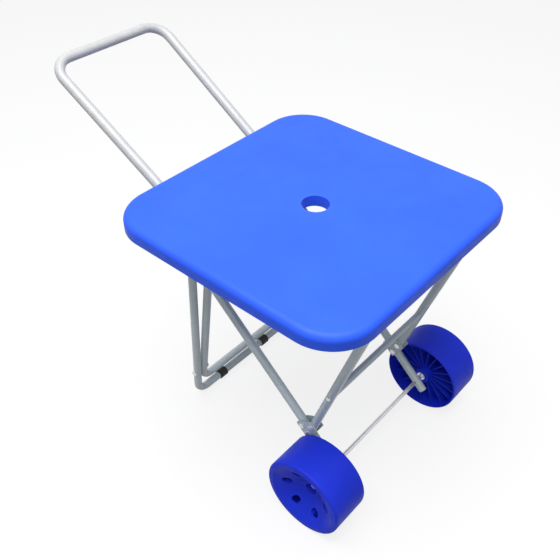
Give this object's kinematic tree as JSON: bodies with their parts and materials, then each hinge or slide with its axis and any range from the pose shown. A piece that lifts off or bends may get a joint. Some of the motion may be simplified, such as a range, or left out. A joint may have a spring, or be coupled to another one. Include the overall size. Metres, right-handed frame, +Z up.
{
  "type": "folding beach cart",
  "caption": "Folding beach cart with a square plastic table, an umbrella hole, a long U handle, a zigzag tube frame and wide ribbed wheels.",
  "frame": {"origin": "bottom centre of the whole cart's box, on the ground", "axes": "+X along the axle to the right wheel, +Y back towards the handle, +Z up out of the umbrella hole"},
  "size_m": [0.5, 0.7698, 0.6427],
  "materials": {
    "table_plastic": "satin moulded polypropylene, blue",
    "wheel_plastic": "satin moulded plastic, deep blue",
    "handle_paint": "pale grey paint on steel tube",
    "frame_paint": "blue-grey paint on steel tube",
    "bracket_paint": "blue-grey paint on folded sheet",
    "zinc_steel": "zinc-plated steel",
    "black_rubber": "matt black rubber",
    "plug_plastic": "pale grey moulded plastic",
    "nylon": "natural nylon"
  },
  "bodies": {
    "chassis": {"main_tube_left": "frame_paint", "main_tube_right": "frame_paint", "main_tube_plugs": "plug_plastic", "axle_rod": "zinc_steel", "axle_push_nuts": "zinc_steel", "axle_washers": "zinc_steel", "lower_bracket_left": "bracket_paint", "lower_bracket_right": "bracket_paint", "lower_bracket_rivets": "zinc_steel", "main_pivot_rod": "zinc_steel", "main_pivot_washers": "nylon"},
    "wheel_left": {"wheel_left": "wheel_plastic"},
    "wheel_right": {"wheel_right": "wheel_plastic"},
    "front_frame": {"front_tube_left": "frame_paint", "front_tube_right": "frame_paint", "front_stretcher": "frame_paint", "stretcher_screws": "zinc_steel", "front_pivot_pins": "zinc_steel"},
    "table": {"tabletop": "table_plastic", "table_hinge_bracket_left": "bracket_paint", "table_hinge_bracket_right": "bracket_paint", "hinge_screws": "zinc_steel", "table_hinge_pins": "zinc_steel"},
    "stay": {"stay_frame": "frame_paint", "foot_pivot_washers": "nylon"},
    "foot": {"foot_frame": "frame_paint", "foot_sleeve_left": "black_rubber", "foot_sleeve_right": "black_rubber", "foot_pivot_pins": "zinc_steel", "handle_pivot_washers": "nylon"},
    "handle": {"handle_tube": "handle_paint", "handle_pivot_pins": "zinc_steel"}
  },
  "joints": [
    {"name": "wheel_left_spin", "type": "hinge", "parent": "chassis", "child": "wheel_left", "pos_m": [-0.189, -0.30745, 0.0775], "axis": [1, 0, 0], "continuous": true},
    {"name": "wheel_right_spin", "type": "hinge", "parent": "chassis", "child": "wheel_right", "pos_m": [0.189, -0.30745, 0.0775], "axis": [1, 0, 0], "continuous": true},
    {"name": "frame_fold", "type": "hinge", "parent": "chassis", "child": "front_frame", "pos_m": [0, -0.25759, 0.15065], "axis": [-1, 0, 0], "range_deg": [0, 65.5]},
    {"name": "table_fold", "type": "hinge", "parent": "front_frame", "child": "table", "pos_m": [0, -0.35655, 0.4645], "axis": [1, 0, 0], "range_deg": [0, 107.51]},
    {"name": "stay_fold", "type": "hinge", "parent": "chassis", "child": "stay", "pos_m": [0, 0.00801, 0.36155], "axis": [-1, 0, 0], "range_deg": [0, 52.06]},
    {"name": "foot_fold", "type": "hinge", "parent": "stay", "child": "foot", "pos_m": [0, 0.04645, 0.072], "axis": [-1, 0, 0], "range_deg": [-1.66, 0]},
    {"name": "handle_fold", "type": "hinge", "parent": "foot", "child": "handle", "pos_m": [0, 0.03149, 0.429], "axis": [1, 0, 0], "range_deg": [0, 61.71]}
  ],
  "couplings": [
    {"joint": "table_fold", "follows": "frame_fold", "ratio": 1.6412},
    {"joint": "stay_fold", "follows": "frame_fold", "ratio": 0.79463},
    {"joint": "foot_fold", "follows": "frame_fold", "ratio": -0.025163},
    {"joint": "handle_fold", "follows": "frame_fold", "ratio": 0.94198}
  ]
}
